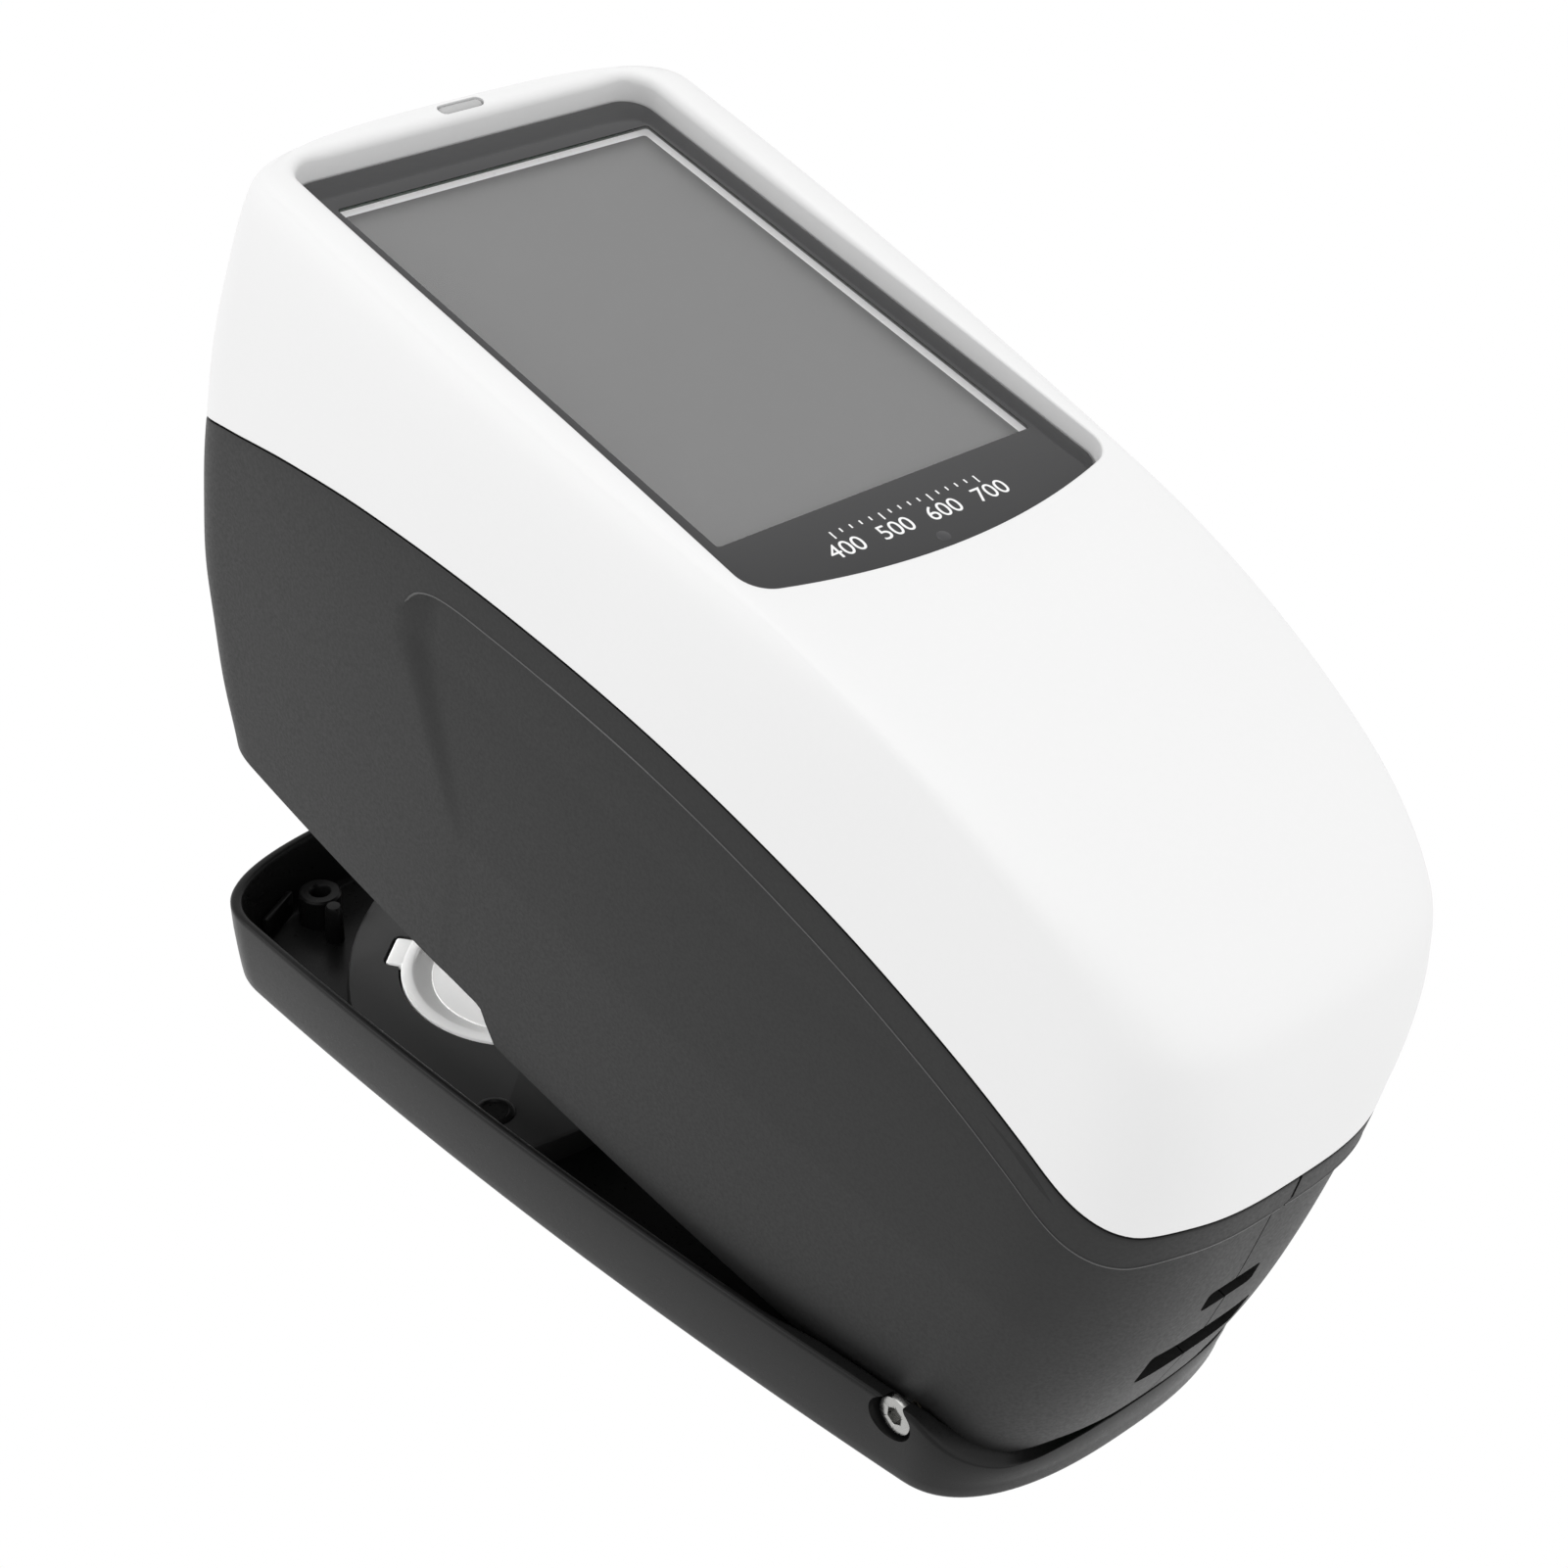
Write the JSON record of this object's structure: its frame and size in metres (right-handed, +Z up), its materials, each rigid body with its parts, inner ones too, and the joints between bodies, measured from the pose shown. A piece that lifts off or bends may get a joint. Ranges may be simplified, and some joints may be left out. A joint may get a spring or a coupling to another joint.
{
  "type": "hinged bench spectrophotometer",
  "caption": "Colour spectrophotometer with a touch screen in a sprung measuring body, hinged at the nose on a flat tray that holds a white target under the measuring port.",
  "frame": {"origin": "centre of the tray on the plane it stands on, the underside of the anti-slip pad", "axes": "+Z up, +Y from the hinge and nose towards the measuring end, +X to the right seen from the nose"},
  "size_m": [0.077, 0.1761, 0.1298],
  "materials": {
    "white_abs": "satin moulded white plastic",
    "black_abs": "fine spark-eroded charcoal plastic",
    "rubber": "matt rubber",
    "steel": "turned stainless steel",
    "brass": "turned brass",
    "screen_glass": "polished cover glass with a dark printed border",
    "panel_grey": "unlit display panel",
    "board_green": "solder-masked circuit board",
    "cell_blue": "shrink-wrapped cells",
    "tile_white": "matt diffuse white",
    "aluminium": "bead-blasted aluminium",
    "light_grey": "frosted grey plastic"
  },
  "bodies": {
    "base": {"base_tray": "black_abs", "anti_slip_pad": "rubber", "target_ring": "tile_white", "white_reference_tile": "tile_white", "pivot_screw_left": "steel", "pivot_screw_right": "steel", "return_spring": "steel"},
    "instrument": {"aperture_ring": "black_abs", "battery_pack": "cell_blue", "bottom_plate": "black_abs", "data_socket": "steel", "detector_board": "board_green", "diffraction_grating": "aluminium", "display_panel": "panel_grey", "integrating_sphere": "tile_white", "lamp_board": "board_green", "left_side_shell": "black_abs", "lens_barrel": "black_abs", "main_board": "board_green", "measuring_switch": "black_abs", "pivot_bush_left": "brass", "pivot_bush_right": "brass", "plate_screw_1": "steel", "plate_screw_2": "steel", "plate_screw_3": "steel", "plate_screw_4": "steel", "port_board": "board_green", "right_side_shell": "black_abs", "spectrometer_housing": "aluminium", "spectrometer_lid": "aluminium", "status_light": "light_grey", "top_cover": "white_abs", "touch_glass": "screen_glass"},
    "plunger": {"switch_plunger": "light_grey"}
  },
  "joints": [
    {"name": "body_press", "type": "hinge", "parent": "base", "child": "instrument", "pos_m": [0, -0.0635, 0.0105], "axis": [-1, 0, 0], "range_deg": [0, 11.2], "stiffness_Nm_per_rad": 0.6, "springref_deg": -48.7, "deforming": ["return_spring"]},
    {"name": "plunger_slide", "type": "slide", "parent": "instrument", "child": "plunger", "axis": [0, -0.2079, 0.9781], "range_m": [0, 0.0016]}
  ],
  "couplings": [
    {"joint": "plunger_slide", "follows": "body_press", "m_per_rad": 0.00767}
  ]
}
